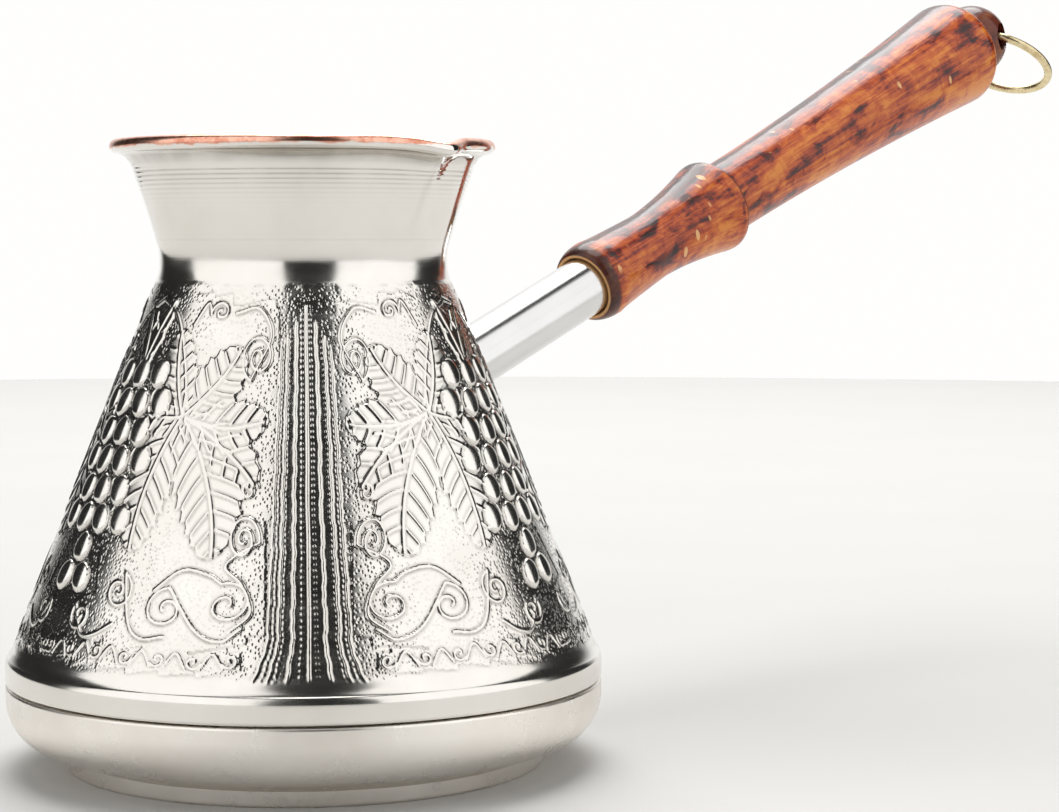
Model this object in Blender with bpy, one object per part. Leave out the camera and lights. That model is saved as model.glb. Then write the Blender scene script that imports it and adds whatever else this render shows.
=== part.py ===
"""A tinned copper coffee pot (cezve) of about half a litre, with a turned wooden handle.

Frame: metres, +Z up. The origin is the centre of the foot's flat underside, the handle
points towards +X and the pouring lip towards -Y. The handle's pieces are turned about the
local Z of one empty on the cone wall: z there is the distance from the wall's outer face.
"""

import math

import bmesh
import bpy
from mathutils import Matrix, Vector

MM = 0.001
GAP = 0.3 * MM
OVERCUT = 1.0 * MM
TURN_STEPS = 72
WELD = 0.001 * MM

# Sheet thicknesses
SHELL_WALL = 1.0 * MM
PAN_WALL = 1.2 * MM

# Base pan: a stepped foot, a bowl-shaped flank and an upright collar
FOOT_RADIUS = 44.3 * MM
FOOT_HEIGHT = 4.5 * MM
FOOT_CORNER = 0.5 * MM
POT_RADIUS = 55.3 * MM
FLANK_TOP_Z = 13.1 * MM
FLANK_BEND_RADIUS = 47.6 * MM
SEAM_Z = 15.9 * MM
LAP_BOTTOM_Z = 12.7 * MM

# Body shell: shoulder, cone, waist, flared neck and rolled rim
SHOULDER_Z = 19.4 * MM
SHOULDER_ROUND = 0.7 * MM
SHOULDER_TUCK = 0.3 * MM
CONE_FOOT_RADIUS = 54.1 * MM
CONE_FOOT_Z = 22.0 * MM
CONE_TOP_RADIUS = 28.0 * MM
CONE_TOP_Z = 88.0 * MM
WAIST_RADIUS = 26.55 * MM
WAIST_Z = 93.0 * MM
WAIST_SPREAD = 0.65 * MM
WAIST_SPREAD_DROP = 3.4 * MM
NECK_FOOT_Z = 95.8 * MM
NECK_FOOT_RADIUS = 26.85 * MM
NECK_TOP_RADIUS = 31.7 * MM
NECK_TOP_Z = 110.9 * MM
RIM_TURN_OUT = 0.9 * MM
RIM_TURN_UP = 1.3 * MM
RIM_RADIUS = 34.25 * MM
RIM_Z = 114.15 * MM
RIM_BEAD = 1.25 * MM
RIM_THROAT = 0.45 * MM

# Pouring lip, pressed outwards and down in the rim
LIP_ANGLE = math.radians(-90.0)
LIP_SPREAD = math.radians(9.0)
LIP_REACH = 3.6 * MM
LIP_DROP = 1.3 * MM
LIP_FADE = 11.0 * MM
LIP_DROP_FADE = 4.4 * MM

# Handle: it leaves the cone wall close to a right angle
HANDLE_RISE = math.radians(22.25)
HANDLE_ROOT_Z = 69.75 * MM
SEAT_RADIUS = 8.0 * MM
SEAT_HEIGHT = 2.6 * MM
SEAT_BLANK = 2.5 * MM
SEAT_CHAMFER = 0.5 * MM
SPIGOT_RADIUS = 4.9 * MM
SPIGOT_TOP = 6.4 * MM
TUBE_RADIUS = 6.1 * MM
TUBE_BORE = 5.3 * MM
TUBE_END = 53.6 * MM
STUD_RADIUS = 2.5 * MM
STUD_HEAD_RADIUS = 6.0 * MM
STUD_HEAD_HEIGHT = 1.8 * MM
STUD_END = 84.0 * MM
STUD_CHAMFER = 0.8 * MM
STUD_HOLE = STUD_RADIUS + GAP
STUD_HOLE_REACH = 8.0 * MM
WASHER_RADIUS = 7.5 * MM
WASHER_FACE = -2.8 * MM
NUT_ACROSS_FLATS = 8.0 * MM
NUT_HEIGHT = 4.0 * MM
INSERT_RADIUS = 4.2 * MM
INSERT_FLANGE = 5.4 * MM
INSERT_FLANGE_HEIGHT = 1.5 * MM
INSERT_END = 70.0 * MM

# Wooden handle, from its near end to the ball at its tip
WOOD_START = 45.9 * MM
WOOD_END_RADIUS = 8.45 * MM
WOOD_END_FACE = 0.5 * MM
WOOD_END_ROUND = 4.8 * MM
THROAT_RADIUS = 7.35 * MM
THROAT_AT = 67.5 * MM
THROAT_BEND = 0.7
COLLAR_RADIUS = 10.35 * MM
COLLAR_AT = 91.2 * MM
COLLAR_BEND = 1.7
COLLAR_LAND = 1.5 * MM
COLLAR_EDGE = 0.4 * MM
GROOVE_DEPTH = 0.2 * MM
GROOVE_WIDTH = 1.6 * MM
GRIP_START_RADIUS = 7.95 * MM
GRIP_RADIUS = 12.6 * MM
GRIP_FULL_AT = 189.0 * MM
GRIP_END = 194.2 * MM
GRIP_BEND = 1.75
BALL_RADIUS = 8.7 * MM
BALL_AT = 199.4 * MM
BALL_NECK_RADIUS = 7.0 * MM
RING_HOLE_AT = 202.7 * MM
RING_HOLE_RADIUS = 2.9 * MM
RING_HOLE_MOUTH = 4.4 * MM
BORE_SPARE = 3.0 * MM

# Hanging ring
RING_RADIUS = 12.5 * MM
RING_WIRE = 1.0 * MM
RING_SLACK = 1.4 * MM
RING_FALL = math.radians(52.8)
RING_CUT = math.radians(2.5)


def clear_scene():
    for thing in list(bpy.data.objects):
        bpy.data.objects.remove(thing, do_unlink=True)


def finish_material(name, colour, roughness, metallic):
    material = bpy.data.materials.new(name)
    material.use_nodes = True
    shader = material.node_tree.nodes["Principled BSDF"]
    shader.inputs["Base Color"].default_value = (*colour, 1.0)
    shader.inputs["Roughness"].default_value = roughness
    shader.inputs["Metallic"].default_value = metallic
    material.diffuse_color = (*colour, 1.0)
    return material


def place(name, form, material=None, parent=None):
    """Put a bmesh in the scene as an object, with its faces turned outwards and shaded smooth."""
    bmesh.ops.recalc_face_normals(form, faces=form.faces)
    mesh = bpy.data.meshes.new(name)
    form.to_mesh(mesh)
    form.free()
    mesh.shade_smooth()
    mesh.set_sharp_from_angle(angle=math.radians(35.0))
    thing = bpy.data.objects.new(name, mesh)
    bpy.context.collection.objects.link(thing)
    thing.parent = parent
    if material:
        mesh.materials.append(material)
    return thing


def turned(profile, steps=TURN_STEPS):
    """Spin a closed outline of (radius, height) points about Z into a solid."""
    form = bmesh.new()
    points = [form.verts.new((radius, 0.0, height)) for radius, height in profile]
    edges = [form.edges.new((a, b)) for a, b in zip(points, points[1:] + points[:1])]
    on_axis = [edge for edge in edges if all(v.co.x < WELD for v in edge.verts)]
    bmesh.ops.delete(form, geom=on_axis, context="EDGES")
    bmesh.ops.spin(
        form,
        geom=[*form.verts, *form.edges],
        cent=(0.0, 0.0, 0.0),
        axis=(0.0, 0.0, 1.0),
        angle=math.tau,
        steps=steps,
    )
    bmesh.ops.remove_doubles(form, verts=form.verts, dist=WELD)
    return form


def arc(centre_r, centre_z, radius, start, end, pieces, squash=1.0):
    """Points on an arc of a section, angles in degrees from the outward direction."""
    points = []
    for i in range(pieces + 1):
        angle = math.radians(start + (end - start) * i / pieces)
        points.append((centre_r + radius * math.cos(angle), centre_z + squash * radius * math.sin(angle)))
    return points


def cone_radius(z):
    return CONE_TOP_RADIUS + (CONE_TOP_Z - z) * cone_slope()


def cone_slope():
    return (CONE_FOOT_RADIUS - CONE_TOP_RADIUS) / (CONE_TOP_Z - CONE_FOOT_Z)


def cutter(name, form, parent=None):
    thing = place(name, form, parent=parent)
    thing.hide_render = True
    thing.display_type = "WIRE"
    return thing


def boolean(thing, other, operation):
    modifier = thing.modifiers.new(other.name, "BOOLEAN")
    modifier.operation = operation
    modifier.object = other


def cylinder(radius, low, high, steps=24):
    return turned([(0.0, low), (radius, low), (radius, high), (0.0, high)], steps)


def base_pan(material):
    """The spun dish that closes the pot: foot, bowl-shaped flank and the collar of the seam."""
    rise = FLANK_TOP_Z - FOOT_HEIGHT
    reach = POT_RADIUS - FLANK_BEND_RADIUS
    outer = [(0.0, 0.0)]
    outer += arc(FOOT_RADIUS - FOOT_CORNER, FOOT_CORNER, FOOT_CORNER, -90, 0, 2)
    outer.append((FOOT_RADIUS, FOOT_HEIGHT))
    outer += arc(FLANK_BEND_RADIUS, FLANK_TOP_Z, reach, -90, 0, 7, rise / reach)
    outer.append((POT_RADIUS, SEAM_Z - GAP / 2))
    inner_reach = reach - PAN_WALL
    inner = [(POT_RADIUS - PAN_WALL, SEAM_Z - GAP / 2)]
    inner += arc(FLANK_BEND_RADIUS, FLANK_TOP_Z, inner_reach, 0, -90, 6, (rise - PAN_WALL) / inner_reach)
    inner += [
        (FOOT_RADIUS - PAN_WALL, FOOT_HEIGHT + PAN_WALL),
        (FOOT_RADIUS - PAN_WALL, PAN_WALL + FOOT_CORNER),
        (FOOT_RADIUS - PAN_WALL - FOOT_CORNER, PAN_WALL),
        (0.0, PAN_WALL),
    ]
    return place("base_pan", turned(outer + inner), material)


def press_lip(form):
    """Draw the rim outwards and down around the lip's direction, fading out down the neck."""
    for vert in form.verts:
        turn = math.atan2(vert.co.y, vert.co.x) - LIP_ANGLE
        turn = (turn + math.pi) % math.tau - math.pi
        below = max(0.0, RIM_Z - vert.co.z)
        near_lip = math.exp(-((turn / LIP_SPREAD) ** 2))
        outward = Vector((vert.co.x, vert.co.y, 0.0)).normalized()
        vert.co += outward * LIP_REACH * near_lip * math.exp(-((below / LIP_FADE) ** 2))
        vert.co.z -= LIP_DROP * near_lip * math.exp(-((below / LIP_DROP_FADE) ** 2))


def waist_point(share):
    """A point of the rounded waist: share -1 is the crease above it, 0 the waist, 1 its lower end."""
    if share < 0.0:
        grow, drop = NECK_FOOT_RADIUS - WAIST_RADIUS, NECK_FOOT_Z - WAIST_Z
    else:
        grow, drop = WAIST_SPREAD, WAIST_SPREAD_DROP
    return (WAIST_RADIUS + grow * share * share, WAIST_Z - drop * share)


def shell_profile():
    """The body's section: outer face from rim to lap, then the inner face back up."""
    slant = SHELL_WALL / math.cos(math.atan(cone_slope()))
    lap_radius = POT_RADIUS - PAN_WALL - GAP
    outer = arc(RIM_RADIUS, RIM_Z, RIM_BEAD, 165, -110, 9)
    outer += [
        (NECK_TOP_RADIUS + RIM_TURN_OUT, NECK_TOP_Z + RIM_TURN_UP),
        (NECK_TOP_RADIUS, NECK_TOP_Z),
        ((NECK_TOP_RADIUS + NECK_FOOT_RADIUS) / 2, (NECK_TOP_Z + NECK_FOOT_Z) / 2),
    ]
    outer += [waist_point(share) for share in (-1.0, -0.5, 0.0, 0.5, 1.0)]
    outer.append((CONE_TOP_RADIUS, CONE_TOP_Z))
    cone_rows = 4
    for i in range(1, cone_rows):
        z = CONE_TOP_Z + (CONE_FOOT_Z - CONE_TOP_Z) * i / cone_rows
        outer.append((cone_radius(z), z))
    outer += [
        (CONE_FOOT_RADIUS, CONE_FOOT_Z),
        (POT_RADIUS - SHOULDER_TUCK, SHOULDER_Z + SHOULDER_ROUND),
        (POT_RADIUS, SHOULDER_Z),
        (POT_RADIUS, SEAM_Z + GAP / 2),
        (lap_radius, SEAM_Z + GAP / 2),
        (lap_radius, LAP_BOTTOM_Z),
    ]
    inner = [
        (lap_radius - SHELL_WALL, LAP_BOTTOM_Z),
        (lap_radius - SHELL_WALL, SHOULDER_Z),
        (CONE_FOOT_RADIUS - slant, CONE_FOOT_Z),
        (CONE_TOP_RADIUS - slant, CONE_TOP_Z),
    ]
    inner += [(waist_point(share)[0] - SHELL_WALL, waist_point(share)[1]) for share in (1.0, 0.0, -1.0)]
    inner += [
        (NECK_TOP_RADIUS - SHELL_WALL, NECK_TOP_Z),
        (NECK_TOP_RADIUS + RIM_TURN_OUT - SHELL_WALL, NECK_TOP_Z + RIM_TURN_UP),
        (RIM_RADIUS - RIM_BEAD - RIM_THROAT, RIM_Z - RIM_THROAT),
    ]
    return outer + inner


def body_shell(material, stud_hole):
    form = turned(shell_profile())
    press_lip(form)
    shell = place("body_shell", form, material)
    boolean(shell, stud_hole, "DIFFERENCE")
    return shell


def cone_solid(offset):
    """The cone as a solid, its wall moved outwards by offset, for shaping what seats on it."""
    slant = offset / math.cos(math.atan(cone_slope()))
    return turned([
        (0.0, CONE_FOOT_Z),
        (CONE_FOOT_RADIUS + slant, CONE_FOOT_Z),
        (CONE_TOP_RADIUS + slant, CONE_TOP_Z),
        (0.0, CONE_TOP_Z),
    ])


def handle_seat(material, axis):
    """The boss outside the wall: hollowed to the cone, with a spigot that centres the tube."""
    profile = [
        (STUD_HOLE, -SEAT_BLANK),
        (SEAT_RADIUS, -SEAT_BLANK),
        (SEAT_RADIUS, SEAT_HEIGHT - SEAT_CHAMFER),
        (SEAT_RADIUS - SEAT_CHAMFER, SEAT_HEIGHT),
        (SPIGOT_RADIUS, SEAT_HEIGHT),
        (SPIGOT_RADIUS, SPIGOT_TOP),
        (STUD_HOLE, SPIGOT_TOP),
    ]
    seat = place("handle_seat", turned(profile, 32), material, axis)
    boolean(seat, cutter("cone_outside", cone_solid(GAP)), "DIFFERENCE")
    return seat


def inner_washer(material, axis):
    """The saddle washer inside the wall, curved on one face and flat under the stud's head."""
    profile = [
        (STUD_HOLE, WASHER_FACE),
        (WASHER_RADIUS, WASHER_FACE),
        (WASHER_RADIUS, 0.0),
        (STUD_HOLE, 0.0),
    ]
    washer = place("inner_saddle_washer", turned(profile, 32), material, axis)
    boolean(washer, cutter("cone_inside", cone_solid(-SHELL_WALL - GAP)), "INTERSECT")
    return washer


def handle_stud(material, axis):
    """The tie stud: a domed head inside the pot and a shank that runs into the wood."""
    head_face = WASHER_FACE - GAP
    profile = arc(0.0, head_face, STUD_HEAD_RADIUS, -90, 0, 4, STUD_HEAD_HEIGHT / STUD_HEAD_RADIUS)
    profile += [
        (STUD_RADIUS, head_face),
        (STUD_RADIUS, STUD_END - STUD_CHAMFER),
        (STUD_RADIUS - STUD_CHAMFER, STUD_END),
        (0.0, STUD_END),
    ]
    return place("handle_stud", turned(profile, 24), material, axis)


def lock_nut(material, axis):
    """The hexagon nut that pulls the seat against the wall, inside the tube."""
    low = SPIGOT_TOP + GAP
    form = bmesh.new()
    bmesh.ops.create_cone(
        form,
        cap_ends=True,
        segments=6,
        radius1=NUT_ACROSS_FLATS / math.sqrt(3.0),
        radius2=NUT_ACROSS_FLATS / math.sqrt(3.0),
        depth=NUT_HEIGHT,
        matrix=Matrix.Translation((0.0, 0.0, low + NUT_HEIGHT / 2)),
    )
    nut = place("lock_nut", form, material, axis)
    hole = cylinder(STUD_HOLE, low - OVERCUT, low + NUT_HEIGHT + OVERCUT)
    boolean(nut, cutter("nut_hole", hole, axis), "DIFFERENCE")
    return nut


def ferrule_tube(material, axis):
    low = SEAT_HEIGHT + GAP
    profile = [(TUBE_BORE, low), (TUBE_RADIUS, low), (TUBE_RADIUS, TUBE_END), (TUBE_BORE, TUBE_END)]
    return place("ferrule_tube", turned(profile, 36), material, axis)


def threaded_insert(material, axis):
    """The flanged bush in the wood that the stud screws into."""
    low = TUBE_END + GAP
    profile = [
        (STUD_HOLE, low),
        (INSERT_FLANGE, low),
        (INSERT_FLANGE, low + INSERT_FLANGE_HEIGHT),
        (INSERT_RADIUS, low + INSERT_FLANGE_HEIGHT),
        (INSERT_RADIUS, INSERT_END),
        (STUD_HOLE, INSERT_END),
    ]
    return place("threaded_insert", turned(profile, 24), material, axis)


def between(start, end, steps, bend):
    """Points between two (radius, height) ends; bend above 1 keeps the first radius longer."""
    points = []
    for i in range(1, steps):
        share = i / steps
        radius = start[0] + (end[0] - start[0]) * share**bend
        points.append((radius, start[1] + (end[1] - start[1]) * share))
    return points


def ring_hole_profile():
    """The cross hole's section: straight in the middle, its mouths worn open like a trumpet."""
    mouth = [
        (0.0, 1.2 * BALL_RADIUS),
        (RING_HOLE_MOUTH, 1.2 * BALL_RADIUS),
        (RING_HOLE_MOUTH, BALL_RADIUS),
        ((RING_HOLE_RADIUS + RING_HOLE_MOUTH) / 2 - 0.1 * MM, 0.88 * BALL_RADIUS),
        (RING_HOLE_RADIUS, 0.7 * BALL_RADIUS),
    ]
    return mouth + [(radius, -height) for radius, height in reversed(mouth)]


def wooden_handle(material, axis):
    """The turned handle: bead, throat, collar with a sharp shoulder, grip and drilled ball."""
    counterbore = TUBE_RADIUS + GAP
    end_face = counterbore + WOOD_END_FACE
    end_round = WOOD_END_RADIUS - end_face
    bead = (WOOD_END_RADIUS, WOOD_START + WOOD_END_ROUND)
    throat = (THROAT_RADIUS, THROAT_AT)
    collar = (COLLAR_RADIUS, COLLAR_AT - COLLAR_LAND)
    grip_start = (GRIP_START_RADIUS, COLLAR_AT + GROOVE_WIDTH)
    grip_full = (GRIP_RADIUS, GRIP_FULL_AT)
    outer = arc(end_face, WOOD_START + WOOD_END_ROUND, end_round, -90, 0, 3, WOOD_END_ROUND / end_round)
    outer += between(bead, throat, 4, THROAT_BEND)
    outer.append(throat)
    outer += between(throat, collar, 5, COLLAR_BEND)
    outer.append(collar)
    outer.append((COLLAR_RADIUS, COLLAR_AT - COLLAR_EDGE))
    outer.append((COLLAR_RADIUS - COLLAR_EDGE, COLLAR_AT))
    outer.append((GRIP_START_RADIUS - GROOVE_DEPTH, COLLAR_AT + COLLAR_EDGE))
    outer.append(grip_start)
    outer += between(grip_start, grip_full, 7, GRIP_BEND)
    outer.append(grip_full)
    round_over = GRIP_END - GRIP_FULL_AT
    outer += arc(GRIP_RADIUS - round_over, GRIP_FULL_AT, round_over, 20, 85, 4)
    ball_from = -math.degrees(math.acos(BALL_NECK_RADIUS / BALL_RADIUS))
    outer += arc(0.0, BALL_AT, BALL_RADIUS, ball_from, 90, 9)
    bore_end = STUD_END + BORE_SPARE
    flange_seat = TUBE_END + INSERT_FLANGE_HEIGHT + 2 * GAP
    inner = [
        (0.0, bore_end),
        (STUD_HOLE, bore_end),
        (STUD_HOLE, INSERT_END + GAP),
        (INSERT_RADIUS + GAP, INSERT_END + GAP),
        (INSERT_RADIUS + GAP, flange_seat),
        (counterbore, flange_seat),
        (counterbore, WOOD_START + GAP),
    ]
    handle = place("wooden_handle", turned(outer + inner, 40), material, axis)
    hole = turned(ring_hole_profile(), 28)
    bmesh.ops.transform(
        hole,
        matrix=Matrix.Translation((0.0, 0.0, RING_HOLE_AT)) @ Matrix.Rotation(math.pi / 2, 4, "X"),
        verts=hole.verts,
    )
    boolean(handle, cutter("ring_hole", hole, axis), "DIFFERENCE")
    return handle


def hanging_ring(material, axis):
    """The wire ring through the ball. Its origin is on the hole's axis, which it swings about."""
    wire = bpy.data.curves.new("hanging_ring", "CURVE")
    wire.dimensions = "3D"
    wire.bevel_depth = RING_WIRE
    wire.bevel_resolution = 3
    wire.use_fill_caps = True
    points = 48
    line = wire.splines.new("POLY")
    line.points.add(points - 1)
    for i, point in enumerate(line.points):
        angle = RING_CUT + (math.tau - 2 * RING_CUT) * i / (points - 1)
        along = RING_RADIUS * (1.0 - math.cos(angle)) - RING_SLACK
        point.co = (0.0, RING_RADIUS * math.sin(angle), along, 1.0)
    ring = bpy.data.objects.new("hanging_ring", wire)
    bpy.context.collection.objects.link(ring)
    wire.materials.append(material)
    ring.parent = axis
    ring.location = (0.0, 0.0, RING_HOLE_AT)
    ring.rotation_euler = (0.0, RING_FALL, 0.0)
    return ring


def handle_axis():
    """An empty on the cone wall whose Z is the handle's own axis, in the XZ plane."""
    axis = bpy.data.objects.new("handle_axis", None)
    bpy.context.collection.objects.link(axis)
    axis.location = (cone_radius(HANDLE_ROOT_Z), 0.0, HANDLE_ROOT_Z)
    axis.rotation_euler = (0.0, math.pi / 2 - HANDLE_RISE, 0.0)
    return axis


def build():
    clear_scene()
    tinned = finish_material("tinned_copper", (0.80, 0.78, 0.74), 0.22, 1.0)
    satin = finish_material("satin_tinned_pan", (0.78, 0.74, 0.69), 0.38, 1.0)
    copper = finish_material("copper_washer", (0.80, 0.42, 0.28), 0.35, 1.0)
    steel = finish_material("polished_steel", (0.72, 0.72, 0.71), 0.12, 1.0)
    zinc = finish_material("zinc_plated_steel", (0.62, 0.63, 0.64), 0.35, 1.0)
    brass = finish_material("brass_wire", (0.80, 0.66, 0.38), 0.25, 1.0)
    wood = finish_material("lacquered_birch", (0.42, 0.14, 0.06), 0.2, 0.0)

    axis = handle_axis()
    stud_hole = cutter("stud_hole", cylinder(STUD_HOLE, -STUD_HOLE_REACH, STUD_HOLE_REACH), axis)
    base_pan(satin)
    body_shell(tinned, stud_hole)
    handle_seat(steel, axis)
    inner_washer(copper, axis)
    handle_stud(zinc, axis)
    lock_nut(zinc, axis)
    ferrule_tube(steel, axis)
    threaded_insert(brass, axis)
    wooden_handle(wood, axis)
    hanging_ring(brass, axis)


build()
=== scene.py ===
import math

import bmesh
import bpy
import numpy as np
from mathutils import Matrix, Vector


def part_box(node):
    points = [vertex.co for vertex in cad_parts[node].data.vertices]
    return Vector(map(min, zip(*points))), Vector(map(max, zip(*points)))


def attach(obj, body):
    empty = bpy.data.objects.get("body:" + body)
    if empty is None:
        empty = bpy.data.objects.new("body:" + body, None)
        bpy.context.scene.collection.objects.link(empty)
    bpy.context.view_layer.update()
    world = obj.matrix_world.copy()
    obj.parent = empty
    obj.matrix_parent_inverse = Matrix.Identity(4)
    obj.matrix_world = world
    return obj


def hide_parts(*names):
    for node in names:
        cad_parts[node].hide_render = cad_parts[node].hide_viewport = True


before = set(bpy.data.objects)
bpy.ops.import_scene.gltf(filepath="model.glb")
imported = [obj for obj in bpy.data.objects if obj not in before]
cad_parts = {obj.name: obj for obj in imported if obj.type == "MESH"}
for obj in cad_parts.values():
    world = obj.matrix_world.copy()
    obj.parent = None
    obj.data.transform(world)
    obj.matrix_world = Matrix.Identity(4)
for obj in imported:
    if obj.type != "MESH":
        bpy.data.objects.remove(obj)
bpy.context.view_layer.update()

MM = 0.001

# ---------------------------------------------------------------- sizes
# Taken from the frame
_, SHELL_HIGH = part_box("body_shell")
_, PAN_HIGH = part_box("base_pan")
POT_RADIUS = PAN_HIGH.x
RIM_TOP = SHELL_HIGH.z
SEAM_Z = PAN_HIGH.z + 0.15 * MM

# The section of shell and pan: radii, heights, and (radius, height) points
RIM_BEAD = 1.25 * MM
RIM_Z = RIM_TOP - RIM_BEAD
RIM_RADIUS = 34.25 * MM
NECK_TOP = (31.7 * MM, RIM_Z - 3.25 * MM)
NECK_FOOT = (26.85 * MM, RIM_Z - 18.35 * MM)
WAIST = (26.55 * MM, RIM_Z - 21.15 * MM)
CONE_TOP = (28.0 * MM, RIM_Z - 26.15 * MM)
CONE_FOOT = (54.1 * MM, 22.0 * MM)
SHOULDER_Z = 19.4 * MM
SHELL_WALL = 1.0 * MM
PAN_WALL = 1.2 * MM
FOOT_RADIUS = 44.3 * MM
FOOT_HEIGHT = 4.5 * MM
FLANK_TOP_Z = 13.1 * MM
FLANK_BEND_RADIUS = 47.6 * MM
CONE_SLOPE = (CONE_FOOT[0] - CONE_TOP[0]) / (CONE_TOP[1] - CONE_FOOT[1])
CONE_ANGLE = math.atan(CONE_SLOPE)

# The pouring lip
LIP_ANGLE = math.radians(-90.0)
LIP_SPREAD = math.radians(8.5)
LIP_REACH = 3.5 * MM
LIP_DROP = 1.3 * MM
LIP_FADE = 11.0 * MM
LIP_DROP_FADE = 4.4 * MM

# The handle: its axis leaves the cone wall at HANDLE_ROOT, and HANDLE_TILT turns Z onto it
HANDLE_RISE = math.radians(22.25)
HANDLE_TILT = math.pi / 2 - HANDLE_RISE
HANDLE_ROOT_Z = 69.75 * MM
HANDLE_ROOT = Vector((CONE_TOP[0] + (CONE_TOP[1] - HANDLE_ROOT_Z) * CONE_SLOPE, 0.0, HANDLE_ROOT_Z))
SEAT_RADIUS = 8.0 * MM
TUBE_RADIUS = 6.1 * MM
TUBE_BORE = 5.3 * MM

# Places along the handle's axis, measured from the cone wall
TUBE_START = 2.9 * MM
TUBE_END = 53.6 * MM
WOOD_START = 45.9 * MM
THROAT_AT = 67.5 * MM
COLLAR_AT = 91.2 * MM
GRIP_FULL_AT = 189.0 * MM
GRIP_END = 194.2 * MM
BALL_AT = 199.4 * MM
RING_HOLE_AT = 202.7 * MM

# Radii of the turned wood
BEAD_RADIUS = 8.45 * MM
THROAT_RADIUS = 7.35 * MM
COLLAR_RADIUS = 10.35 * MM
GRIP_RADIUS = 12.6 * MM
BALL_RADIUS = 8.7 * MM

# The wire ring through the ball's hole
RING_RADIUS = 12.5 * MM
RING_WIRE = 0.98 * MM
RING_SLACK = 1.4 * MM
RING_FALL = math.radians(52.8)
RING_CUT = math.radians(2.6)

# The chased pattern, in degrees and plain millimetres
PANELS = 3
HALF_PANEL = 180.0 / PANELS
BAND_AZIMUTH = -131.5
RIB_PITCH = 2.0
TARNISH_DEPTH = 0.045


# ---------------------------------------------------------------- node helpers
class Nodes:
    """Short ways to add and join shader nodes in one material or world."""

    def __init__(self, tree):
        self.tree = tree

    def add(self, kind, **values):
        node = self.tree.nodes.new(kind)
        for name, value in values.items():
            setattr(node, name, value)
        return node

    def put(self, socket, value):
        """Join a socket to another, or set its value; a colour is given as three numbers."""
        if isinstance(value, bpy.types.NodeSocket):
            self.tree.links.new(value, socket)
        elif socket.type == "RGBA":
            socket.default_value = (*value, 1.0)
        else:
            socket.default_value = value

    def math(self, operation, *values, clamp=False):
        node = self.add("ShaderNodeMath", operation=operation, use_clamp=clamp)
        for socket, value in zip(node.inputs, values):
            self.put(socket, value)
        return node.outputs[0]

    def mix(self, factor, a, b):
        node = self.add("ShaderNodeMix", data_type="RGBA")
        self.put(node.inputs[0], factor)
        self.put(node.inputs[6], a)
        self.put(node.inputs[7], b)
        return node.outputs[2]

    def noise(self, vector, scale, detail=3.0, roughness=0.55, distortion=0.0):
        node = self.add("ShaderNodeTexNoise")
        self.put(node.inputs["Vector"], vector)
        self.put(node.inputs["Scale"], scale)
        self.put(node.inputs["Detail"], detail)
        self.put(node.inputs["Roughness"], roughness)
        self.put(node.inputs["Distortion"], distortion)
        return node.outputs["Fac"]

    def voronoi(self, vector, scale):
        node = self.add("ShaderNodeTexVoronoi")
        self.put(node.inputs["Vector"], vector)
        self.put(node.inputs["Scale"], scale)
        return node.outputs["Distance"]

    def stretch(self, vector, scale):
        node = self.add("ShaderNodeMapping")
        self.put(node.inputs["Vector"], vector)
        self.put(node.inputs["Scale"], scale)
        return node.outputs[0]

    def range(self, value, low, high, to_low=0.0, to_high=1.0):
        node = self.add("ShaderNodeMapRange", interpolation_type="SMOOTHSTEP")
        self.put(node.inputs["Value"], value)
        self.put(node.inputs["From Min"], low)
        self.put(node.inputs["From Max"], high)
        self.put(node.inputs["To Min"], to_low)
        self.put(node.inputs["To Max"], to_high)
        return node.outputs[0]

    def ramp(self, value, stops):
        node = self.add("ShaderNodeValToRGB")
        self.put(node.inputs[0], value)
        elements = node.color_ramp.elements
        while len(elements) < len(stops):
            elements.new(0.5)
        for element, (position, colour) in zip(elements, stops):
            element.position = position
            element.color = (*colour, 1.0)
        return node.outputs[0]

    def bump(self, height, distance, strength=1.0, normal=None):
        node = self.add("ShaderNodeBump")
        self.put(node.inputs["Height"], height)
        self.put(node.inputs["Distance"], distance)
        self.put(node.inputs["Strength"], strength)
        if normal is not None:
            self.put(node.inputs["Normal"], normal)
        return node.outputs[0]

    def position(self):
        """Object coordinates."""
        return self.add("ShaderNodeTexCoord").outputs["Object"]

    def handle_position(self):
        """Object coordinates in the handle's own frame, with Z along the handle."""
        node = self.add("ShaderNodeMapping", vector_type="TEXTURE")
        self.put(node.inputs["Vector"], self.position())
        node.inputs["Location"].default_value = HANDLE_ROOT
        node.inputs["Rotation"].default_value = (0.0, HANDLE_TILT, 0.0)
        return node.outputs[0]

    def split(self, vector):
        node = self.add("ShaderNodeSeparateXYZ")
        self.put(node.inputs[0], vector)
        return node.outputs[0], node.outputs[1], node.outputs[2]


def new_material(name):
    """A material, the helper for its nodes, and its Principled shader."""
    material = bpy.data.materials.new(name)
    material.use_nodes = True
    nodes = Nodes(material.node_tree)
    return material, nodes, material.node_tree.nodes["Principled BSDF"]


def new_metal(name):
    material, nodes, shader = new_material(name)
    shader.inputs["Metallic"].default_value = 1.0
    return material, nodes, shader


# ---------------------------------------------------------------- materials
TIN = (0.86, 0.835, 0.79)
TIN_SHADE = (0.80, 0.765, 0.71)
COPPER = (0.93, 0.52, 0.39)
COPPER_DARK = (0.72, 0.30, 0.20)
# The dark of tarnish, also used as painted shade under the rim and along the neck's grooves
TARNISH_AND_SHADE = (0.20, 0.175, 0.145)


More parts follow.
